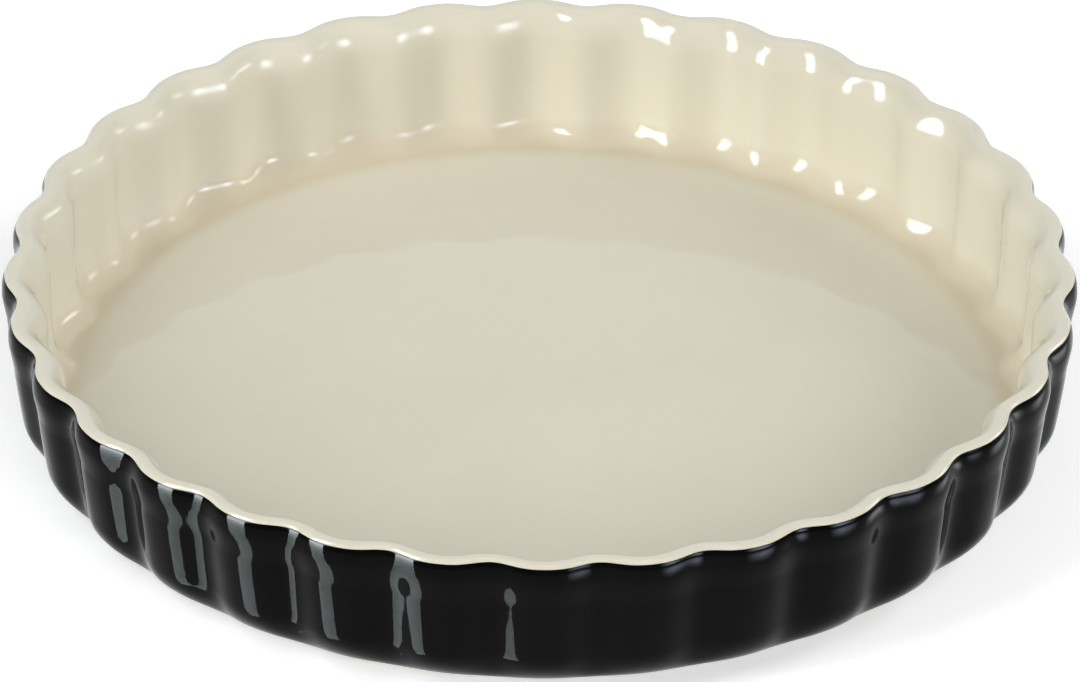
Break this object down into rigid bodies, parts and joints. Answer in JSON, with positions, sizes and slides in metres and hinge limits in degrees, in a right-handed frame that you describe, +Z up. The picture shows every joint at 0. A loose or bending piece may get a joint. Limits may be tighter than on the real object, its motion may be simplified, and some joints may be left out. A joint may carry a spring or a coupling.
{
  "type": "pie dish",
  "caption": "Round shallow stoneware dish for pies and tarts, with an upright fluted wall, a rounded lip, a flat floor and a low foot ring.",
  "frame": {"origin": "centre of the footprint, on the surface that the foot ring stands on", "axes": "+Z up along the dish's axis; +X through the middle of a flute's crest"},
  "size_m": [0.28, 0.28, 0.044],
  "materials": {
    "bare_clay": "unglazed, matt",
    "cream_glaze": "glossy",
    "black_glaze": "glossy"
  },
  "bodies": {
    "root": {"stoneware_body": "bare_clay", "inner_glaze": "cream_glaze", "outer_glaze": "black_glaze", "base_glaze": "black_glaze"}
  },
  "joints": []
}
